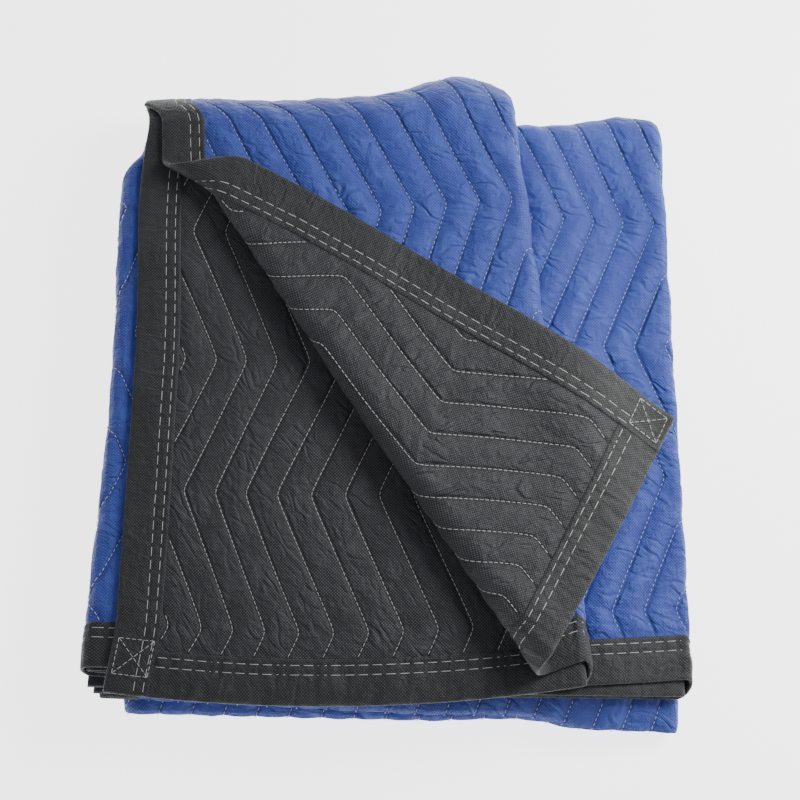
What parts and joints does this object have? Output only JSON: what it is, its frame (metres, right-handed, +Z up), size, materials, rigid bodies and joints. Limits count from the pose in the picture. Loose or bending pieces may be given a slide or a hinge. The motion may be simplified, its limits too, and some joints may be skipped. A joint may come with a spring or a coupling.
{
  "type": "moving blanket",
  "caption": "Quilted moving blanket with taped edges, folded to a flat stack with one corner of the top layer turned over.",
  "frame": {"origin": "middle of the footprint, on the floor under the stack", "axes": "+Z up, +Y from the open front edge to the folded back edge, +X across the stack"},
  "size_m": [0.5096, 0.5814, 0.1071],
  "materials": {
    "blue_nonwoven": "blue nonwoven face, black back, zigzag quilted",
    "black_tape": "black woven tape, sewn with two rows of pale thread"
  },
  "bodies": {
    "root": {"quilted_panel": "blue_nonwoven", "binding_foot": "black_tape", "binding_head": "black_tape", "binding_left": "black_tape", "binding_right": "black_tape"}
  },
  "joints": []
}
